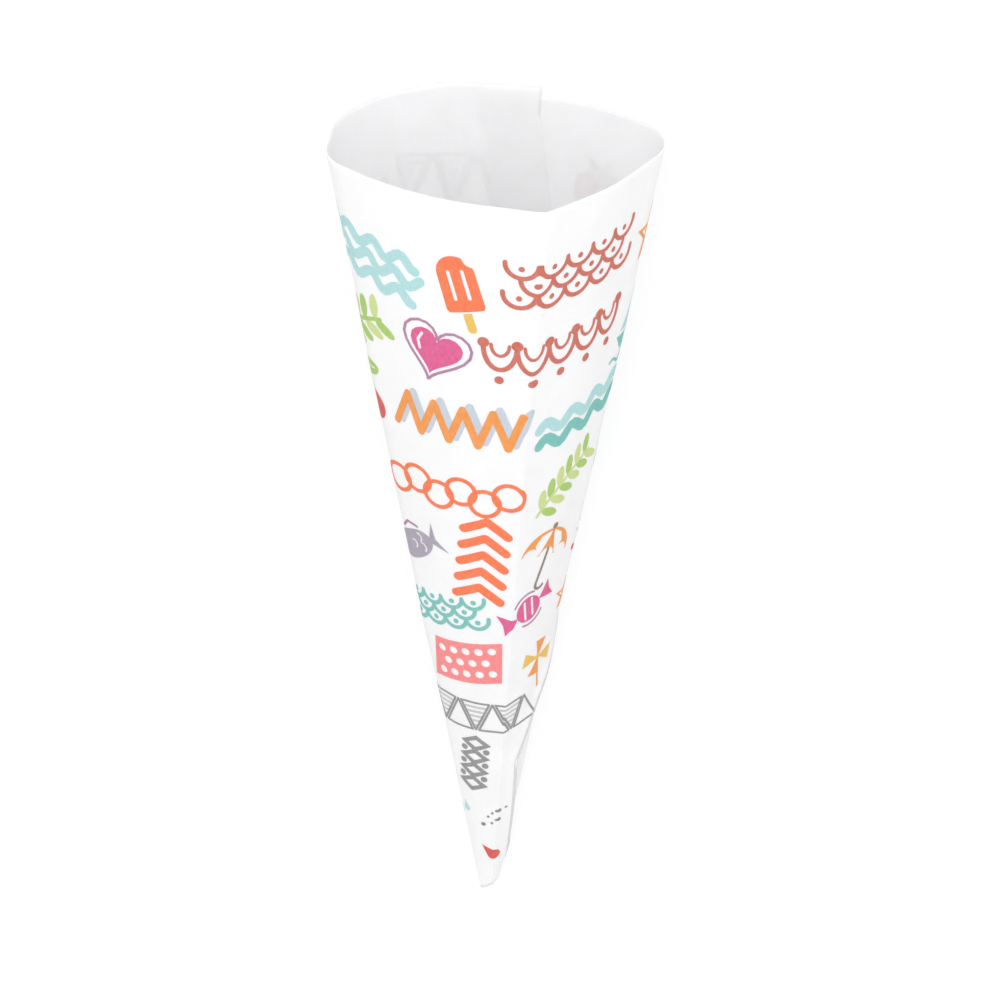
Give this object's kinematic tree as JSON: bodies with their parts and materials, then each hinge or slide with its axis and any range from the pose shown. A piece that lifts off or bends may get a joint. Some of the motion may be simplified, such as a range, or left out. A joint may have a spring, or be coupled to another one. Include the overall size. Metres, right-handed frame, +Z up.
{
  "type": "cone paper cup",
  "caption": "Single sheet of paper rolled into a pointed cone cup with a slanting glued lap, a sharp front fold and a small open tip, lying on its back.",
  "frame": {"origin": "centre of the bounding box on the ground that the cup lies on", "axes": "+Z up, +Y along the ground from the tip towards the mouth, +X to the right of someone who looks into the mouth with the front fold uppermost"},
  "size_m": [0.0595, 0.1624, 0.0474],
  "materials": {
    "paper": "matte white paper with a light printed decor outside"
  },
  "bodies": {
    "root": {"paper_cone": "paper"}
  },
  "joints": []
}
